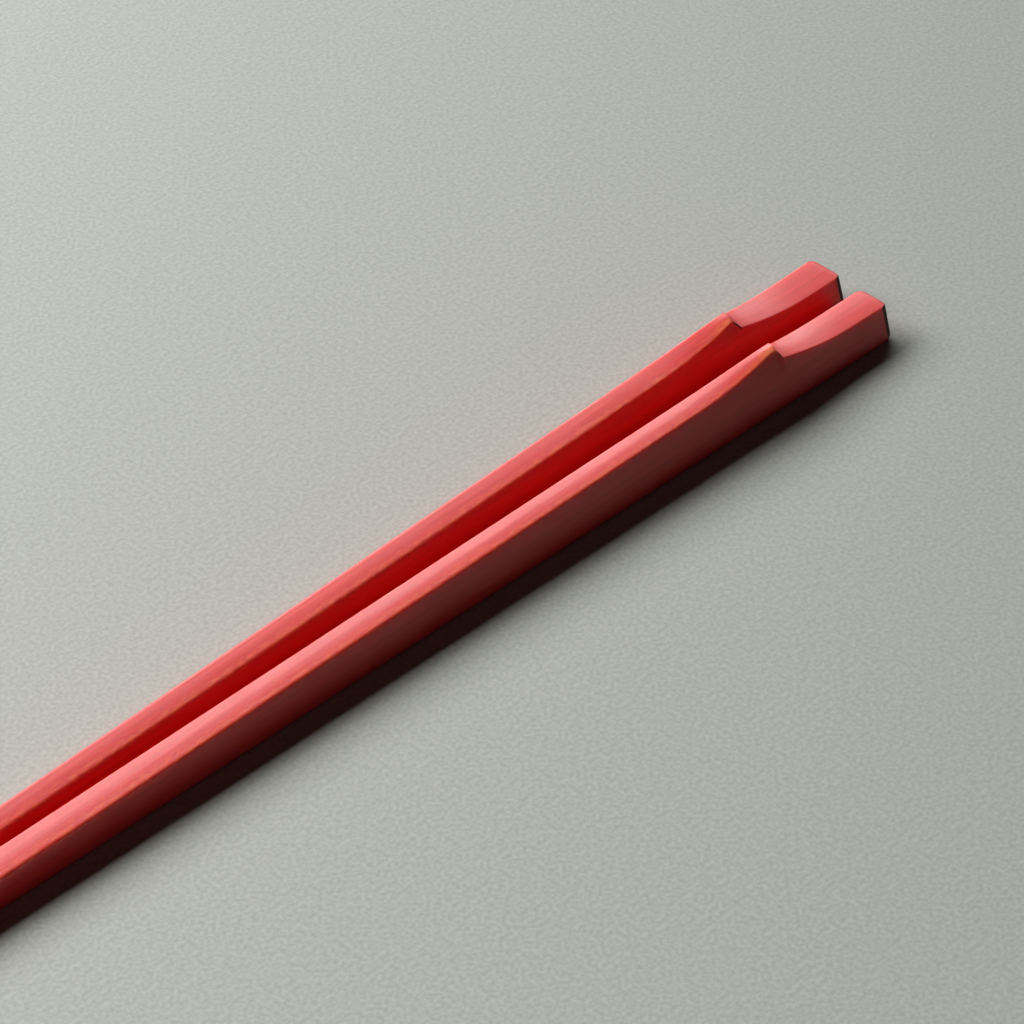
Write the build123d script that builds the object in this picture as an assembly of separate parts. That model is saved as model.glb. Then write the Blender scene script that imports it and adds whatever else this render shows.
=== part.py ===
from build123d import *
import os
from math import atan, degrees

# A pair of red-lacquered wooden chopsticks, laid side by side on a table, in millimetres.
# +X runs from the tips to the heads, +Y from the front stick to the rear one, +Z is up.
# Distances along a stick are measured from its head end.

# The pair
LENGTH = 230.0
GAP = 0.4               # clear space between the two bases, the same from head to tip
REAR_LEAD = 0.6         # how far the rear stick's head lies beyond the front one's

# The blank: a rounded triangle with a flat base, tapering in straight lines from head to tip
HEAD_BASE, TIP_BASE = 7.5, 2.6
HEAD_CORNER, TIP_CORNER = 0.45, 0.3             # rounding of the two lower edges
HEAD_BOW, TIP_BOW = 0.41, 0.04                  # how far the flanks bulge out of a straight line
WAIST = 160.0                                   # from here to the tip the section stays squarish

# Width of the ridge at the head and at the waist, and how much narrower than the base it is at the
# tip: the front stick is the squarer of the two
RIDGES = {"front_chopstick": (0.85, 3.6, 0.5), "rear_chopstick": (1.3, 2.1, 0.7)}

# Height of the flat planed along the ridge, which falls from the head towards the tip
FLAT_AT_HEAD, FLAT_AT_TIP = 6.32, 2.13

# The carved head: the flat sweeps up to a crest, drops at a notch and runs out in a scoop
CREST = 18.8            # distance of the crest from the head end
CREST_RISE = 0.7        # how far the crest stands above the level of the flat at the head end
RAMP_RUN = 13.7         # length of the sweep from the flat up to the crest
STEP_DROP = 1.07        # depth of the steep step from the crest into the notch
SCOOP_RUN, SCOOP_DROP = 11.2, 1.4               # the hollow from the notch to the level head cut

# Length and rise of the rounded crown that ends the sweep, and run of the step beyond it: the rear
# stick keeps the sharper crest and has the gentler step
CROWNS = {"front_chopstick": (2.9, 0.25), "rear_chopstick": (0.9, 0.11)}
STEP_RUNS = {"front_chopstick": 0.45, "rear_chopstick": 1.1}

# Height of the blank's ridge above the crest and above the flat at the tip, all carved away
HEAD_STOCK, TIP_STOCK = 0.73, 0.77

# Softened edges
CREST_ROUNDING = 0.3
END_LAND = 0.1          # both ends are eased by this much less than the radius of their lower edges
ARRIS_CHAMFER = 0.12    # the crisp long edges of the planed and carved faces

CLEARANCE = 5.0         # how far the cutting tool reaches past the wood

# Heights that follow from the sizes above
CREST_HEIGHT = FLAT_AT_HEAD + CREST_RISE
NOTCH_HEIGHT = CREST_HEIGHT - STEP_DROP
HEAD_CUT_HEIGHT = NOTCH_HEIGHT - SCOOP_DROP
HEAD_RIDGE_HEIGHT = CREST_HEIGHT + HEAD_STOCK
TIP_RIDGE_HEIGHT = FLAT_AT_TIP + TIP_STOCK


def taper(head, tip, distance):
    """Value of a straight taper at a distance from the head end."""
    return head + (tip - head) * distance / LENGTH


def flat_height(distance):
    return taper(FLAT_AT_HEAD, FLAT_AT_TIP, distance)


def blank_section(distance, ridge):
    """Cross-section of the blank: base, rounded lower edges, bowed flanks and narrow ridge."""
    half = taper(HEAD_BASE, TIP_BASE, distance) / 2
    corner = taper(HEAD_CORNER, TIP_CORNER, distance)
    height = taper(HEAD_RIDGE_HEIGHT, TIP_RIDGE_HEIGHT, distance)
    bow = taper(HEAD_BOW, TIP_BOW, distance)
    plane = Plane(origin=(-distance, 0, 0), x_dir=(0, 1, 0), z_dir=(1, 0, 0))
    with BuildSketch(plane) as sketch:
        with BuildLine():
            base = Line((corner - half, 0), (half - corner, 0))
            right_corner = TangentArc(base @ 1, (half, corner), tangent=(1, 0))
            right_flank = SagittaArc(right_corner @ 1, (ridge / 2, height), -bow)
            top = Line(right_flank @ 1, (-ridge / 2, height))
            left_flank = SagittaArc(top @ 1, (-half, corner), -bow)
            TangentArc(left_flank @ 1, base @ 0, tangent=(0, -1))
        make_face()
    return sketch.sketch


def carving_tool(name):
    """Everything above the carved outline of the stick, seen from the side."""
    crown_run, crown_rise = CROWNS[name]
    notch = CREST - STEP_RUNS[name]
    past_tip = -LENGTH - CLEARANCE
    lid = HEAD_RIDGE_HEIGHT + CLEARANCE
    ramp_start = CREST + RAMP_RUN
    crown_start = (-CREST - crown_run, CREST_HEIGHT - crown_rise)
    with BuildSketch(Plane.XZ) as outline:
        with BuildLine():
            flat = Line((past_tip, flat_height(-past_tip)), (-ramp_start, flat_height(ramp_start)))
            ramp = TangentArc(flat @ 1, crown_start, tangent=flat % 1)
            crown = TangentArc(ramp @ 1, (-CREST, CREST_HEIGHT), tangent=ramp % 1)
            step = Line(crown @ 1, (-notch, NOTCH_HEIGHT))
            level = Line((SCOOP_RUN - notch, HEAD_CUT_HEIGHT), (CLEARANCE, HEAD_CUT_HEIGHT))
            TangentArc(level @ 0, step @ 1, tangent=(-1, 0))
            Polyline(level @ 1, (CLEARANCE, lid), (past_tip, lid), flat @ 0)
        make_face()
        fillet(outline.vertices().sort_by_distance(crown @ 1)[0], CREST_ROUNDING)
    return extrude(outline.sketch, amount=HEAD_BASE, both=True)


def runs_lengthwise(edge):
    direction = edge.tangent_at(0.5)
    return abs(direction.X) > abs(direction.Y) + abs(direction.Z)


def soften(stick):
    """Takes the sharpness off both ends and the long upper edges."""
    head_outline = stick.faces().sort_by(Axis.X)[-1].edges().sort_by(Axis.Z)
    stick = stick.fillet(HEAD_CORNER - END_LAND, head_outline[:-1])
    tip_outline = stick.faces().sort_by(Axis.X)[0].edges()
    stick = stick.chamfer(TIP_CORNER - END_LAND, None, tip_outline)
    upper = stick.edges().filter_by(lambda edge: edge.center().Z > 2 * HEAD_CORNER)
    return stick.chamfer(ARRIS_CHAMFER, None, upper.filter_by(runs_lengthwise))


def chopstick(name):
    head_ridge, waist_ridge, tip_lean = RIDGES[name]
    sections = [
        blank_section(0, head_ridge),
        blank_section(WAIST, waist_ridge),
        blank_section(LENGTH, TIP_BASE - tip_lean),
    ]
    return soften(loft(sections, ruled=True) - carving_tool(name))


os.makedirs("parts", exist_ok=True)
splay = degrees(atan((HEAD_BASE - TIP_BASE) / 2 / LENGTH))
pitch = HEAD_BASE + GAP
sticks = {}
for name, side, lead in (("front_chopstick", -1, 0.0), ("rear_chopstick", 1, REAR_LEAD)):
    place = Pos(lead, side * pitch / 2, 0) * Rot(0, 0, side * splay)
    sticks[name] = place * chopstick(name)

box = Compound(list(sticks.values())).bounding_box()
to_origin = Pos(-box.center().X, -box.center().Y, -box.min.Z)
for name, stick in sticks.items():
    export_step(to_origin * stick, f"parts/{name}.step")
    print(name, "volume", round(stick.volume, 1), "valid", stick.is_valid)
print("pair", box.size)
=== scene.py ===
# %% [markdown]
# A pair of lacquered chopsticks
#
# This lesson dresses two plain CAD solids as a pair of red-lacquered wooden chopsticks lying side by
# side. Each stick is one piece of wood: a slim rounded triangle with a flat planed along its top, and
# a carved head where that flat sweeps up to a crest, drops at a notch and runs out in a shallow scoop.
# We start by loading the CAD model. It is the fixed frame that says where everything is, in metres.

# %% Load the frame and measure it
import bpy
import bmesh
from math import atan, cos, radians, sin, tan
from mathutils import Matrix, Vector


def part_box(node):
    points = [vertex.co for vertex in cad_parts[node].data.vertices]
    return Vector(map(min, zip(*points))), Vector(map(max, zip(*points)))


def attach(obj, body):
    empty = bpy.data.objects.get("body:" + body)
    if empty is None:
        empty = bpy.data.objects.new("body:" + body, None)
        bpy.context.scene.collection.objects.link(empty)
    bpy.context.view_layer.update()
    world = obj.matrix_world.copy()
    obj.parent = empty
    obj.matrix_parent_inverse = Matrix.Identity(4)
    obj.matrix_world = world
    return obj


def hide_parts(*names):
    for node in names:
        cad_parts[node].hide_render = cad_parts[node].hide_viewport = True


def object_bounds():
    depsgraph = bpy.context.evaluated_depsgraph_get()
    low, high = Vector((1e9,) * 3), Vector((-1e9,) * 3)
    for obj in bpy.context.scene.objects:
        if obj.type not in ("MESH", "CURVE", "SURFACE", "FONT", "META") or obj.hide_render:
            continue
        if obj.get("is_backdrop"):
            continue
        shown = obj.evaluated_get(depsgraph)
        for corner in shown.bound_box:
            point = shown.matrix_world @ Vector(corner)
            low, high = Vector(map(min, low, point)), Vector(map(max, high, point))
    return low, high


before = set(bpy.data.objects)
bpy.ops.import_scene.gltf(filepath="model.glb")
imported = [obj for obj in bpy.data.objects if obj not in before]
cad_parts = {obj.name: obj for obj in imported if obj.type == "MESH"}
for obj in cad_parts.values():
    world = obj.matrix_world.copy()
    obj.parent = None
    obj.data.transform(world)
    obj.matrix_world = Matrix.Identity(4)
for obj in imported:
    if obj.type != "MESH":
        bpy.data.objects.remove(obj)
cad_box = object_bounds()
MM = 0.001
for name in sorted(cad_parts):
    low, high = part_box(name)
    print(name, "from", [round(v / MM, 2) for v in low], "to", [round(v / MM, 2) for v in high], "mm")

# %% [markdown]
# The camera
#
# The picture looks down on the pair from in front and from the tips' side, so the sticks run from the
# lower left to the upper right and their tips lie outside the frame. A long lens keeps the long edges
# nearly parallel. A camera looks along its own -Z, so we point that axis at the aim with to_track_quat.

# %% Place the camera
AIM = Vector((57.675, 2.5, 0.0)) * MM
AZIMUTH = radians(-45.7065)
ELEVATION = radians(39.685)
DISTANCE = 430.0 * MM
LENS = 129.93
SENSOR_WIDTH = 36.0

towards_camera = Vector((
    sin(AZIMUTH) * cos(ELEVATION),
    -cos(AZIMUTH) * cos(ELEVATION),
    sin(ELEVATION),
))
camera_data = bpy.data.cameras.new("camera")
camera_data.lens = LENS
camera_data.sensor_width = SENSOR_WIDTH
camera = bpy.data.objects.new("camera", camera_data)
camera.location = AIM + towards_camera * DISTANCE
camera.rotation_euler = (-towards_camera).to_track_quat("-Z", "Y").to_euler()
bpy.context.scene.collection.objects.link(camera)
bpy.context.scene.camera = camera
bpy.context.scene.view_settings.view_transform = "Standard"
print("camera at", [round(v, 4) for v in camera.location])

# %% [markdown]
# Setting up a material
#
# Every finish in this lesson is a small tree of shader nodes. A few helpers keep the cells short: one
# starts a material, one adds a node and sets its plain values, one joins two sockets, and the others
# add what nearly every tree here needs: a noise, a ramp, a change of range, a sum, a mix and a bump.


# %% Helpers for shader nodes
def new_material(name):
    material = bpy.data.materials.new(name)
    material.use_nodes = True
    return material, material.node_tree, material.node_tree.nodes["Principled BSDF"]


def add_node(tree, kind, inputs=None, **settings):
    node = tree.nodes.new("ShaderNode" + kind)
    for key, value in settings.items():
        setattr(node, key, value)
    for key, value in (inputs or {}).items():
        node.inputs[key].default_value = value
    return node


def join(tree, source, target):
    tree.links.new(source, target)


def noise(tree, scale, detail):
    """Noise on Object coordinates, with a scale for each axis in cells per metre."""
    place = add_node(tree, "TexCoord")
    mapping = add_node(tree, "Mapping", {"Scale": scale})
    texture = add_node(tree, "TexNoise", {"Scale": 1.0, "Detail": detail})
    join(tree, place.outputs["Object"], mapping.inputs["Vector"])
    join(tree, mapping.outputs["Vector"], texture.inputs["Vector"])
    return texture.outputs["Fac"]


def ramp(tree, factor, *stops):
    node = add_node(tree, "ValToRGB")
    for element, (position, colour) in zip(node.color_ramp.elements, stops):
        element.position = position
        element.color = (*colour, 1.0)
    join(tree, factor, node.inputs["Fac"])
    return node.outputs["Color"]


def map_range(tree, value, start, end, low=0.0, high=1.0):
    """Turns start into low and end into high, and stays level outside them."""
    node = add_node(tree, "MapRange", {"From Min": start, "From Max": end, "To Min": low, "To Max": high})
    join(tree, value, node.inputs["Value"])
    return node.outputs["Result"]


def combine(tree, operation, first, second):
    node = add_node(tree, "Math", operation=operation)
    join(tree, first, node.inputs[0])
    join(tree, second, node.inputs[1])
    return node.outputs["Value"]


def paint_over(tree, under, colour, amount):
    """Covers a colour with another one by an amount from 0 to 1."""
    mix = add_node(tree, "Mix", data_type="RGBA")
    mix.inputs["B"].default_value = (*colour, 1.0)
    join(tree, amount, mix.inputs["Factor"])
    join(tree, under, mix.inputs["A"])
    return mix.outputs["Result"]


def add_bump(tree, surface, height, depth, strength):
    bump = add_node(tree, "Bump", {"Distance": depth, "Strength": strength})
    join(tree, height, bump.inputs["Height"])
    join(tree, bump.outputs["Normal"], surface.inputs["Normal"])


print("shader helpers ready")

# %% [markdown]
# The floor
#
# The sticks lie on a plain pale sheet with a fine tooth, like good drawing paper. A large square gives
# the light something to bounce from. One noise makes both the pale flecks and the small bumps. The
# sheet is darker towards the heads and the front: painted shade, an even grade of black over the flecks
# that stands in for the window's light falling off across the sheet. A dot product with a direction
# gives the distance along it, which makes a slanting grade easy.

# %% Lay the floor
FLOOR_SIZE = 6.0
TOOTH_SCALE = 1900.0
TOOTH_DEPTH = 0.1 * MM
DARK_FLECK, PALE_FLECK = (0.471, 0.488, 0.446), (0.593, 0.611, 0.560)
BLACK = (0.0, 0.0, 0.0)
# painted shade: the floor is darkened along this direction, standing in for the window's light falling off
SHADE_ALONG = (0.79, -0.61, 0.0)
SHADE_FROM, SHADE_TO = -0.05, 0.16
DEEPEST_SHADE = 0.32

bm = bmesh.new()
bmesh.ops.create_grid(bm, x_segments=1, y_segments=1, size=FLOOR_SIZE / 2)
floor_mesh = bpy.data.meshes.new("floor")
bm.to_mesh(floor_mesh)
bm.free()
floor = bpy.data.objects.new("floor", floor_mesh)
bpy.context.scene.collection.objects.link(floor)
floor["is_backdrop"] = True

paper, tree, surface = new_material("pale_paper")
tooth = noise(tree, (TOOTH_SCALE, TOOTH_SCALE, TOOTH_SCALE), detail=2.0)
tone = ramp(tree, tooth, (0.3, DARK_FLECK), (0.7, PALE_FLECK))
slant = add_node(tree, "VectorMath", {1: SHADE_ALONG}, operation="DOT_PRODUCT")
join(tree, add_node(tree, "TexCoord").outputs["Object"], slant.inputs[0])
painted_falloff = map_range(tree, slant.outputs["Value"], SHADE_FROM, SHADE_TO, high=DEEPEST_SHADE)
# painted shade: a grade of black laid over the paper's flecks
tone = paint_over(tree, tone, BLACK, painted_falloff)
join(tree, tone, surface.inputs["Base Color"])
surface.inputs["Roughness"].default_value = 0.9
surface.inputs["Specular IOR Level"].default_value = 0.2
add_bump(tree, surface, tooth, TOOTH_DEPTH, strength=0.1)
floor_mesh.materials.append(paper)
print("floor", FLOOR_SIZE, "m square")

# %% [markdown]
# The window
#
# The light is a long low window behind the sticks, made of two soft panes that lie along them. Seen from
# the side, the lower and upper edges of a pane set where the shadow starts and how soft its edge is, so
# a pane is given by those two angles in degrees. The pane on the tips' side stands higher. The other one
# is longer and stands where the flats and the scoops mirror it, so it gives them their sheen. A faint
# strip, low in front, keeps the near sides from going black.

# %% Hang the window
WINDOW_DISTANCE = 1.6


def soft_box(name, place, facing, width, height, power):
    data = bpy.data.lights.new(name, "AREA")
    data.shape = "RECTANGLE"
    data.size = width
    data.size_y = height
    data.energy = power
    box = bpy.data.objects.new(name, data)
    box.location = AIM + Vector(place)
    box.rotation_euler = Vector(facing).to_track_quat("-Z", "Y").to_euler()
    bpy.context.scene.collection.objects.link(box)
    print(name, "gives", power, "W")


def window_pane(name, left, right, low, high, power):
    low, high = radians(low), radians(high)
    middle = (low + high) / 2
    towards = Vector((0.0, cos(middle), sin(middle)))
    place = towards * WINDOW_DISTANCE + Vector(((left + right) / 2, 0.0, 0.0))
    height = 2 * WINDOW_DISTANCE * tan((high - low) / 2)
    soft_box(name, place, -towards, right - left, height, power)


window_pane("left_pane", left=-1.34, right=0.0, low=23.0, high=52.0, power=36.5)
window_pane("right_pane", left=0.0, right=2.1, low=20.0, high=44.5, power=30.8)
soft_box("low_fill", place=(-0.3, -1.0, 0.09), facing=(0.3, 1.0, -0.05), width=1.2, height=0.12, power=0.3)

# %% [markdown]
# The room
#
# The room itself is almost dark, so the near sides stay deep red. A backdrop that is only seen is
# another matter: where the camera, a mirror or glass looks at it, it is a pale wall, darker in front
# than behind. The Light Path node tells those looks from the light that the walls would shed.

# %% Dim the room
FRONT_WALL, BACK_WALL = (0.13, 0.13, 0.125), (0.42, 0.43, 0.40)
SHED_LIGHT, SEEN_LIGHT = 0.01, 1.0

world = bpy.data.worlds.new("room")
bpy.context.scene.world = world
world.use_nodes = True
tree = world.node_tree
backdrop = tree.nodes["Background"]
direction = add_node(tree, "SeparateXYZ")
join(tree, add_node(tree, "TexCoord").outputs["Generated"], direction.inputs["Vector"])
behind = map_range(tree, direction.outputs["Y"], -1.0, 1.0)
walls = ramp(tree, behind, (0.2, FRONT_WALL), (0.75, BACK_WALL))
join(tree, walls, backdrop.inputs["Color"])
path = add_node(tree, "LightPath")
seen = combine(tree, "MAXIMUM", path.outputs["Is Camera Ray"], path.outputs["Is Glossy Ray"])
seen = combine(tree, "MAXIMUM", seen, path.outputs["Is Transmission Ray"])
join(tree, map_range(tree, seen, 0.0, 1.0, SHED_LIGHT, SEEN_LIGHT), backdrop.inputs["Strength"])
print("room sheds", SHED_LIGHT, "and is seen at", SEEN_LIGHT)

# %% [markdown]
# The section of a stick
#
# Cut across, a stick is a triangle with a flat base, two small rounded lower edges, flanks that bow out
# a little, most of all two thirds of the way up, and a narrow ridge. All of it tapers from head to tip.
# We describe it with a few tapers, in millimetres, as functions of the distance from the head end. The
# front stick is squarer than the rear one lower down, so each has its own half widths of the ridge, at
# the head, at the waist and at the tip.

# %% Tapers of the blank
LENGTH = 230.0
HALF_BASE = (3.75, 1.3)
CORNER = (0.45, 0.3)
RIDGE_HEIGHT = (7.75, 2.9)
BOW = (0.45, 0.04)
BOW_FULLNESS = 5.8
FLAT = (6.32, 2.13)
WAIST = 160.0
RIDGES = {"front_chopstick": (0.34, 1.82, 1.05), "rear_chopstick": (0.65, 1.05, 0.95)}


def taper(ends, distance):
    return ends[0] + (ends[1] - ends[0]) * distance / LENGTH


def ridge_half(name, distance):
    head, waist, tip = RIDGES[name]
    if distance < WAIST:
        return head + (waist - head) * distance / WAIST
    return waist + (tip - waist) * (distance - WAIST) / (LENGTH - WAIST)


def flank(name, distance, height):
    """Half the width of the blank at a height above the base."""
    low = taper(CORNER, distance)
    share = (height - low) / (taper(RIDGE_HEIGHT, distance) - low)
    wide = taper(HALF_BASE, distance)
    straight = wide + (ridge_half(name, distance) - wide) * share
    return straight + BOW_FULLNESS * taper(BOW, distance) * share ** 2 * (1 - share)


for distance in (0.0, WAIST, LENGTH):
    print(distance, "mm from the head, half base", round(taper(HALF_BASE, distance), 2), "mm")

# %% [markdown]
# The carved outline
#
# Seen from the side, the top of a stick is a chain of straight lines and arcs: the level head cut, the
# scoop, the steep step of the notch, the crest with its rounded crown, the hollow sweep and the long
# flat. An arc that leaves a line smoothly is nearly a parabola, so each one is written as its start,
# its slope there and the point that it reaches. A point is its distance from the head and its height.

# %% Height of the top along a stick
CREST = (18.8, 7.02)
SWEEP_RUN = 13.7
SWEEP_START = CREST[0] + SWEEP_RUN
NOTCH_HEIGHT = 5.87
HEAD_CUT_HEIGHT = 4.55
SCOOP_RUN = 11.2
STEP_RUNS = {"front_chopstick": 0.45, "rear_chopstick": 0.9}
CROWNS = {"front_chopstick": (2.9, 0.25), "rear_chopstick": (0.9, 0.11)}


def notch_place(name):
    return CREST[0] - STEP_RUNS[name]


def smooth_rise(start, slope, end, distance):
    run = end[0] - start[0]
    bend = (end[1] - start[1] - slope * run) / run ** 2
    along = distance - start[0]
    return start[1] + slope * along + bend * along ** 2


def top_height(name, distance):
    notch = (notch_place(name), NOTCH_HEIGHT)
    head_cut = (notch[0] - SCOOP_RUN, HEAD_CUT_HEIGHT)
    if distance <= head_cut[0]:
        return HEAD_CUT_HEIGHT
    if distance <= notch[0]:
        return smooth_rise(head_cut, 0.0, notch, distance)
    if distance <= CREST[0]:
        return smooth_rise(notch, (CREST[1] - notch[1]) / (CREST[0] - notch[0]), CREST, distance)
    if distance >= SWEEP_START:
        return taper(FLAT, distance)
    fall = (FLAT[1] - FLAT[0]) / LENGTH
    flat_end = (SWEEP_START, taper(FLAT, SWEEP_START))
    crown_run, crown_rise = CROWNS[name]
    crown = (CREST[0] + crown_run, CREST[1] - crown_rise)
    if distance >= crown[0]:
        return smooth_rise(flat_end, fall, crown, distance)
    run = crown[0] - SWEEP_START
    crown_slope = 2 * (crown[1] - flat_end[1]) / run - fall
    return smooth_rise(crown, crown_slope, CREST, distance)


for name in CROWNS:
    places = (0.0, notch_place(name), CREST[0], SWEEP_START, LENGTH)
    print(name, "heights", [round(top_height(name, place), 2) for place in places], "mm")

# %% [markdown]
# One ring of the cage
#
# We model each stick as a coarse cage of rings and let a Subdivision Surface round it off. A ring has
# a point on each corner and a partner on either side of it: the closer the partners, the crisper the
# edge. Here the upper edges are crisp at the head and softer further down, where more hands have
# rubbed them. The crest droops at its sides like a fingertip, and the flat leans, tilts and crowns a
# hair, as hand work does. The head cut has a tilt of its own, because it was cut on its own.

# %% Points of a ring
LEANS = {"front_chopstick": (-0.25, 0.3), "rear_chopstick": (0.04, 0.06)}
CAMBERS = {"front_chopstick": 0.08, "rear_chopstick": 0.04}
TILTS = {"front_chopstick": (-0.015, -0.065), "rear_chopstick": (0.03, 0.01)}
HEAD_TILTS = {"front_chopstick": 0.01, "rear_chopstick": 0.035}
TILT_FADE = 4               # power by which the tilt dies away below the top
HEAD_SOFTNESS = 0.17
SOFTNESS_GROWTH = 0.004     # for each millimetre from the head
MOST_SOFTNESS = 0.5
MOST_SOFT_SHARE = 0.45      # of half the flat's width
SOFT_DEPTH = 0.9            # of the softness, down the flank
FINGERTIP_RUN = 4.0
FINGERTIP_DROOP = 0.05
CORNER_REACH = 1.25         # points beside a lower edge, in radii of its rounding
END_CORNER_REACH = 1.5      # and how much further apart they are at the head end
END_EASE = 2.5
TOP_INSET = 0.3             # share of an inset that lowers the top


def softness(name, distance):
    half_top = flank(name, distance, top_height(name, distance))
    return min(HEAD_SOFTNESS + SOFTNESS_GROWTH * distance, MOST_SOFTNESS, MOST_SOFT_SHARE * half_top)


def fingertip(distance):
    """1 at the crest, falling to 0 at the end of its fingertip."""
    behind = distance - CREST[0]
    return (1 - behind / FINGERTIP_RUN) ** 2 if 0 <= behind < FINGERTIP_RUN else 0.0


def ring_points(name, distance, inset=0.0):
    """Sixteen points round the section, as (across, up), shrunk by the inset."""
    top = top_height(name, distance) - TOP_INSET * inset
    edge = top - FINGERTIP_DROOP * fingertip(distance)
    soft = softness(name, distance)
    wide = taper(HALF_BASE, distance) - inset
    easing = max(0.0, 1 - distance / END_EASE) ** 2
    corner = (CORNER_REACH + END_CORNER_REACH * easing) * taper(CORNER, distance)
    half_top = flank(name, distance, top) - inset
    below = edge - SOFT_DEPTH * soft
    middle = (corner + below) / 2
    half = [
        (half_top - soft, edge),
        (half_top, edge),
        (flank(name, distance, below) - inset, below),
        (flank(name, distance, middle) - inset, middle),
        (flank(name, distance, corner) - inset, corner),
        (wide, inset),
        (wide - corner, inset),
    ]
    mirrored = [(-across, up) for across, up in reversed(half)]
    points = [(0.0, top + CAMBERS[name])] + half + [(0.0, inset)] + mirrored
    lean = taper(LEANS[name], distance)
    tilt = taper(TILTS[name], distance) if distance >= CREST[0] else HEAD_TILTS[name]
    return [
        (across + lean * up / top, up + tilt * across * (up / top) ** TILT_FADE)
        for across, up in points
    ]


print(len(ring_points("front_chopstick", 0.0)), "points in a ring")

# %% [markdown]
# Where the rings stand
#
# The rings stand close together where the carving turns and far apart on the plain shaft. At the head
# end they shrink towards the end face, which rounds its rim. A step that is cut by hand is never quite
# square to the stick, so the points near it are shifted along: the step is askew, and the near corner
# of the crest is drawn back, which rounds it.

# %% Stations and skew
HEAD_RINGS = [(0.0, 0.8), (0.1, 0.52), (0.32, 0.24), (0.62, 0.07), (0.95, 0.0)]
HEAD_STATIONS = [1.25, 1.7, 2.6, 4.0, 6.0, 8.5, 11.0, 13.5]
BEFORE_NOTCH = (2.2, 0.8, 0.25, 0.07)
UP_STEP = (0.12, 0.6)
BEHIND_CREST = (0.0, 0.22, 0.8, 1.9, 3.6, 6.0, 9.0, 12.0, 15.0)
SHAFT_STATIONS = [40.0, 52.0, 66.0, 82.0, 100.0, 120.0, 140.0, 160.0, 180.0, 200.0, 215.0, 226.0, 229.2]
TIP_INSET = 0.25
SKEW = 0.2
SKEW_REACH = 1.4
SKEW_RUN = 2.2
NEAR_ROUNDING = 0.4
ROUNDING_RISE = 4           # power by which the rounding grows up the step
ROUNDING_TURN = 3           # and towards the near edge


def stations(name):
    """Distances of the plain rings from the head end."""
    notch = notch_place(name)
    step = CREST[0] - notch
    scoop = [notch - before for before in BEFORE_NOTCH]
    rise = [notch + share * step for share in UP_STEP]
    crest = [CREST[0] + behind for behind in BEHIND_CREST]
    return HEAD_STATIONS + scoop + rise + crest + SHAFT_STATIONS


def clamp(share):
    """Keeps a share between 0 and 1."""
    return min(1.0, max(0.0, share))


def lag(name, distance, across, half_top):
    """How far a point is shifted towards the tip from its ring's station."""
    notch = notch_place(name)
    past = max(notch - distance, distance - CREST[0], 0.0)
    share = max(0.0, 1 - past / SKEW_RUN)
    askew = -SKEW * max(-SKEW_REACH, min(SKEW_REACH, across))
    upper = share * clamp((distance - notch) / (CREST[0] - notch)) ** ROUNDING_RISE
    rounding = NEAR_ROUNDING * clamp(-across / half_top) ** ROUNDING_TURN
    return share * askew + upper * rounding


for name in CROWNS:
    print(name, "has", len(HEAD_RINGS) + len(stations(name)) + 1, "rings")

# %% [markdown]
# Worn, lit and shaded places
#
# Two numbers are stored on the points for the finish. The first paints orange and tan. It is partly wear,
# where hands have thinned the lacquer, and partly painted highlight: it lies along the upper edges, more
# on the near one and by the head end, where the sheen fades and the lit edge shows orange, and most of
# all on the crest, whose crown catches the window. The second is painted shade, nearly black: at both
# edges of the step, and in a narrow band round the rim of the head end, where those surfaces face away
# from the light. They could be painted by hand, but here the points of a ring already have numbers, from
# the middle of the top round by the far side, so a few of those numbers are enough.

# %% Wear, painted highlight and painted shade at the points of a ring
MIDDLE_TOP, FAR_TOP, FAR_EDGE = 0, 1, 2
NEAR_EDGE, NEAR_TOP = 14, 15
# orange and tan are partly wear and partly painted highlight: more on the near edge, by the head end and
# on the crest
RIM_WEAR_AND_HIGHLIGHT, RIM_RUN = 0.45, 3.0
SHAFT_WEAR_AND_HIGHLIGHT = {NEAR_EDGE: 0.6, NEAR_TOP: 0.55, FAR_EDGE: 0.2}
CREST_WEAR_AND_HIGHLIGHT = {"front_chopstick": 1.5, "rear_chopstick": 1.0}
CREST_RUN, CREST_SHARES = 2.5, {NEAR_EDGE: 1.0, NEAR_TOP: 1.0, MIDDLE_TOP: 0.6}
CREST_FAR_WEAR_AND_HIGHLIGHT = 0.2
FADE_RUN, FADE_SHARES = 5.0, {NEAR_TOP: 0.5, MIDDLE_TOP: 0.2}
FADE_EDGE_WEAR_AND_HIGHLIGHT = 1.1
# painted shade: a dark line at both edges of the step and a band round the head end's rim, where they face
# away from the light
STEP_SHADE = 1.7
SHADED_RIM = (0.2, 1.0)


def wear_and_highlight_at(name, distance):
    """How much orange is painted at the points of a ring, for wear and for painted highlight: 1 is orange,
    and the crest is paler still.
    """
    behind = distance - CREST[0]
    if behind < 0:
        return {NEAR_EDGE: RIM_WEAR_AND_HIGHLIGHT} if distance < RIM_RUN else {}
    wear_and_highlight = dict(SHAFT_WEAR_AND_HIGHLIGHT)
    bare = CREST_WEAR_AND_HIGHLIGHT[name]
    if behind < CREST_RUN:
        wear_and_highlight[FAR_TOP] = CREST_FAR_WEAR_AND_HIGHLIGHT
        wear_and_highlight.update({point: share * bare for point, share in CREST_SHARES.items()})
    elif behind < FADE_RUN:
        wear_and_highlight[NEAR_EDGE] = FADE_EDGE_WEAR_AND_HIGHLIGHT
        wear_and_highlight.update({point: share * bare for point, share in FADE_SHARES.items()})
    return wear_and_highlight


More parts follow.
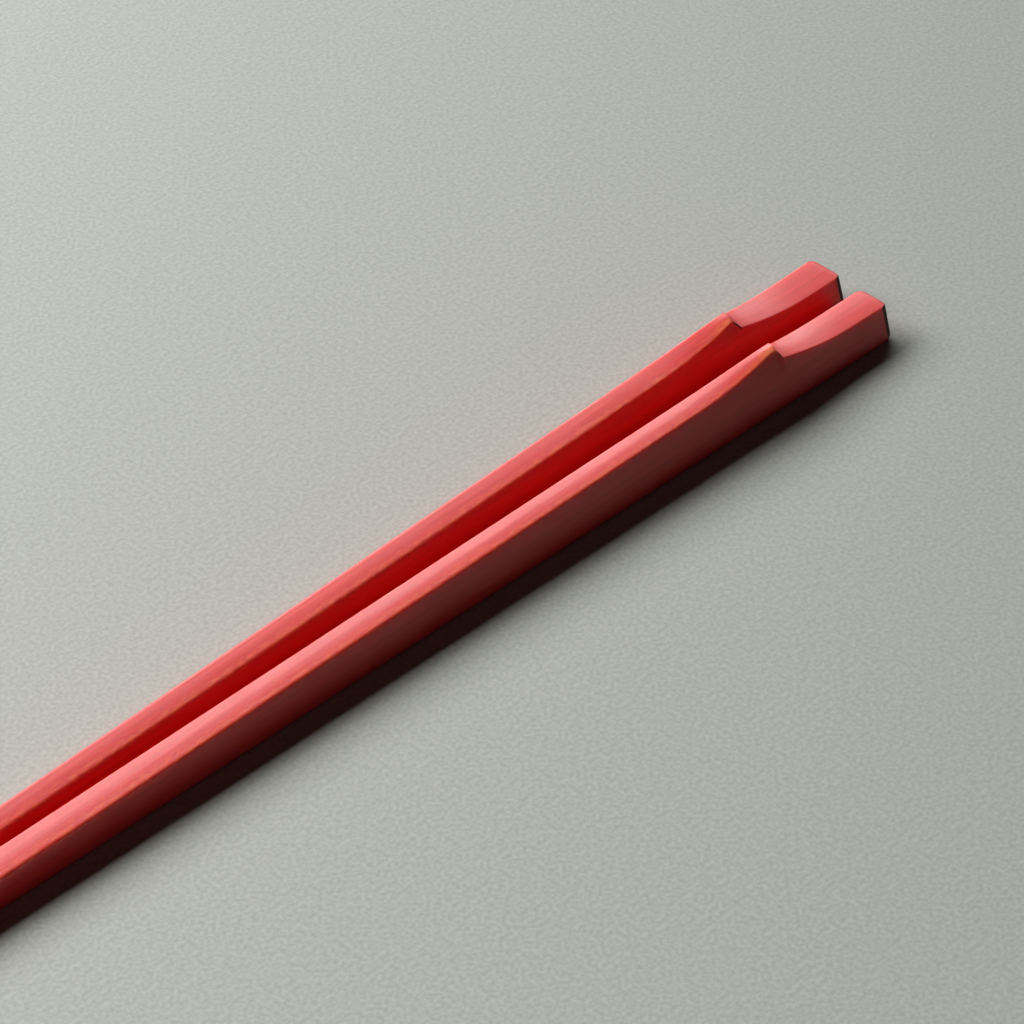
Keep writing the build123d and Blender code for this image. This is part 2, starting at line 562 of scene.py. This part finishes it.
def painted_shade_at(name, distance):
    """How much painted shade goes on the points of a ring."""
    if notch_place(name) < distance < CREST[0]:
        return {NEAR_EDGE: STEP_SHADE, FAR_EDGE: STEP_SHADE}
    if SHADED_RIM[0] < distance < SHADED_RIM[1]:
        return {point: 1.0 for point in range(FAR_EDGE, NEAR_EDGE + 1)}
    return {}


# shows the orange and tan at the crest, partly wear and partly painted highlight
for name in CROWNS:
    print(name, "worn at the crest:", wear_and_highlight_at(name, CREST[0]))

# %% [markdown]
# Bridging the rings
#
# bridge_loops skins the gap between two loops of edges, which is how a boat builder planks a hull over
# its frames. Both ends are closed with a face that is inset once, so that the rounding stays at the
# rim. The stick is built along its own axis in millimetres, and one transform then lays it in its
# place: to its side of the pair, turned so that the bases stay apart by the same gap from head to tip.

# %% Build both sticks
END_MARGIN = 0.3
PITCH = 7.9
REAR_LEAD = 0.6
SPLAY = atan((HALF_BASE[0] - HALF_BASE[1]) / LENGTH)
PLACES = {"front_chopstick": (-1, 0.0), "rear_chopstick": (1, REAR_LEAD)}
ROUNDING_LEVELS = 3


def add_ring(bm, name, distance, inset=0.0):
    # the stored numbers: orange for wear and painted highlight, and painted shade
    wear_and_highlight = bm.verts.layers.float["wear_and_highlight"]
    painted_shade = bm.verts.layers.float["painted_shade"]
    half_top = flank(name, distance, top_height(name, distance))
    orange_here = wear_and_highlight_at(name, distance)
    shaded = painted_shade_at(name, distance)
    verts = []
    for index, (across, up) in enumerate(ring_points(name, distance, inset)):
        vert = bm.verts.new((-distance - lag(name, distance, across, half_top), across, up))
        vert[wear_and_highlight] = orange_here.get(index, 0.0)
        vert[painted_shade] = shaded.get(index, 0.0)
        verts.append(vert)
    return [bm.edges.new((verts[i - 1], verts[i])) for i in range(len(verts))]


def close_end(bm, edges):
    face = bmesh.ops.edgeloop_fill(bm, edges=edges)["faces"][0]
    bmesh.ops.inset_region(bm, faces=[face], thickness=END_MARGIN)


def carve_stick(name):
    bm = bmesh.new()
    # one stored number for orange (wear and painted highlight), one for painted shade
    bm.verts.layers.float.new("wear_and_highlight")
    bm.verts.layers.float.new("painted_shade")
    rings = [add_ring(bm, name, distance, inset) for distance, inset in HEAD_RINGS]
    rings += [add_ring(bm, name, distance) for distance in stations(name)]
    rings.append(add_ring(bm, name, LENGTH, TIP_INSET))
    for ring, following in zip(rings, rings[1:]):
        bmesh.ops.bridge_loops(bm, edges=ring + following)
    close_end(bm, rings[0])
    close_end(bm, rings[-1])
    bmesh.ops.recalc_face_normals(bm, faces=bm.faces)
    side, lead = PLACES[name]
    head_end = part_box("rear_chopstick")[1].x - REAR_LEAD * MM
    place = Matrix.Translation((head_end + lead * MM, side * PITCH / 2 * MM, 0.0))
    place = place @ Matrix.Rotation(side * SPLAY, 4, "Z") @ Matrix.Scale(MM, 4)
    bmesh.ops.transform(bm, matrix=place, verts=bm.verts)
    mesh = bpy.data.meshes.new(name + "_carved")
    bm.to_mesh(mesh)
    bm.free()
    mesh.shade_smooth()
    stick = bpy.data.objects.new(name + "_carved", mesh)
    bpy.context.scene.collection.objects.link(stick)
    rounding = stick.modifiers.new("rounding", "SUBSURF")
    rounding.levels = ROUNDING_LEVELS
    rounding.render_levels = ROUNDING_LEVELS
    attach(stick, "root")
    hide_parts(name)
    print(stick.name, "cage of", len(mesh.polygons), "faces")
    return stick


sticks = [carve_stick(name) for name in PLACES]

# %% [markdown]
# Red lacquer
#
# The lacquer is an opaque vermilion. Under it the wood's grain still shows as faint streaks along the
# stick: a noise squeezed across the stick and stretched along it. A broad cloud evens the red out in
# places, and a few small pits are darker. A picture of real lacquer could be wrapped round the stick
# instead, but noise on Object coordinates needs no unwrapping and stays sharp up close.

# %% Mix the red
DARK_STREAK, BRIGHT_STREAK = (0.67, 0.020, 0.021), (0.80, 0.038, 0.030)
CLOUD_RED = (0.69, 0.018, 0.018)
PIT_RED = (0.36, 0.010, 0.010)

lacquer, tree, surface = new_material("red_lacquer")
grain = noise(tree, (70.0, 2200.0, 2200.0), detail=4.0)
cloud = noise(tree, (160.0, 420.0, 420.0), detail=2.0)
pits = noise(tree, (2400.0, 3200.0, 3200.0), detail=1.0)
red = ramp(tree, grain, (0.3, DARK_STREAK), (0.7, BRIGHT_STREAK))
red = paint_over(tree, red, CLOUD_RED, map_range(tree, cloud, 0.45, 0.75, high=0.6))
red = paint_over(tree, red, PIT_RED, map_range(tree, pits, 0.67, 0.76, high=0.4))
print("red mixed from", len(tree.nodes), "nodes")

# %% [markdown]
# Worn and lit edges, and painted shade
#
# Where hands have rubbed an edge, the red thins to orange, and on the crest to a paler tan. Along the
# near edge and on the crest the same orange and tan are also painted highlight, where the sheen fades
# and the crown catches the window. The stored number sets how far. A streaky speck is added to it first,
# so the line is uneven, as real wear is. In the step and round the rim of the head end, painted shade
# makes the lacquer nearly black.

# %% Paint the wear and painted highlight, and the painted shade
# orange and tan: partly wear, partly painted highlight on the lit edges and the crest
WORN_AND_LIT_ORANGE = (0.84, 0.115, 0.032)
WORN_AND_LIT_TAN = (0.86, 0.220, 0.075)
# colour of the painted shade
PAINTED_SHADE_DARK = (0.05, 0.004, 0.004)
UNEVEN = 0.28

speck = noise(tree, (900.0, 3400.0, 3400.0), detail=2.0)
wear_and_highlight = add_node(tree, "Attribute", attribute_name="wear_and_highlight").outputs["Fac"]
uneven = combine(tree, "ADD", wear_and_highlight, map_range(tree, speck, 0.36, 0.64, -UNEVEN, UNEVEN))
# paints the orange and tan, partly wear and partly painted highlight
red = paint_over(tree, red, WORN_AND_LIT_ORANGE, map_range(tree, uneven, 0.3, 0.95))
red = paint_over(tree, red, WORN_AND_LIT_TAN, map_range(tree, uneven, 0.95, 1.65))
# painted shade: nearly black in the step and round the rim of the head end
painted_shade = add_node(tree, "Attribute", attribute_name="painted_shade").outputs["Fac"]
painted_shade = map_range(tree, painted_shade, 0.3, 0.8)
red = paint_over(tree, red, PAINTED_SHADE_DARK, painted_shade)
join(tree, red, surface.inputs["Base Color"])
print("wear and dark lines painted")

# %% [markdown]
# The sheen
#
# The lacquer has a satin sheen, a little uneven with the cloud and duller on the painted shade, so that
# stays dark. The same streaks as in the colour press a little relief into the surface, so the sheen
# breaks up along the grain. The lacquer also lets a little light in: near a lit edge it comes out red on
# the shaded side, which subsurface scattering gives. Red travels furthest, so its radius is the largest.

# %% Give the lacquer its sheen
SATIN_LOW, SATIN_HIGH = 0.29, 0.35
# rougher where the painted shade lies, so it shows no glint
PAINTED_SHADE_DULL = 0.45
GRAIN_DEPTH = 0.05 * MM
GLOW_RADIUS = (1.0, 0.2, 0.1)
GLOW_SCALE = 1.0 * MM

satin = map_range(tree, cloud, 0.3, 0.7, SATIN_LOW, SATIN_HIGH)
dull = map_range(tree, painted_shade, 0.0, 1.0, high=PAINTED_SHADE_DULL)
join(tree, combine(tree, "ADD", satin, dull), surface.inputs["Roughness"])
add_bump(tree, surface, grain, GRAIN_DEPTH, strength=0.2)
surface.inputs["Subsurface Weight"].default_value = 1.0
surface.inputs["Subsurface Radius"].default_value = GLOW_RADIUS
surface.inputs["Subsurface Scale"].default_value = GLOW_SCALE
for stick in sticks:
    stick.data.materials.append(lacquer)
print("lacquer on", [stick.name for stick in sticks])

# %% Compare the boxes and finish
boxes = {"cad": cad_box, "visual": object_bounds()}
size = {key: [list(corner) for corner in box] for key, box in boxes.items()}
for key, (low, high) in size.items():
    print(key, [round((b - a) / MM, 2) for a, b in zip(low, high)], "mm")
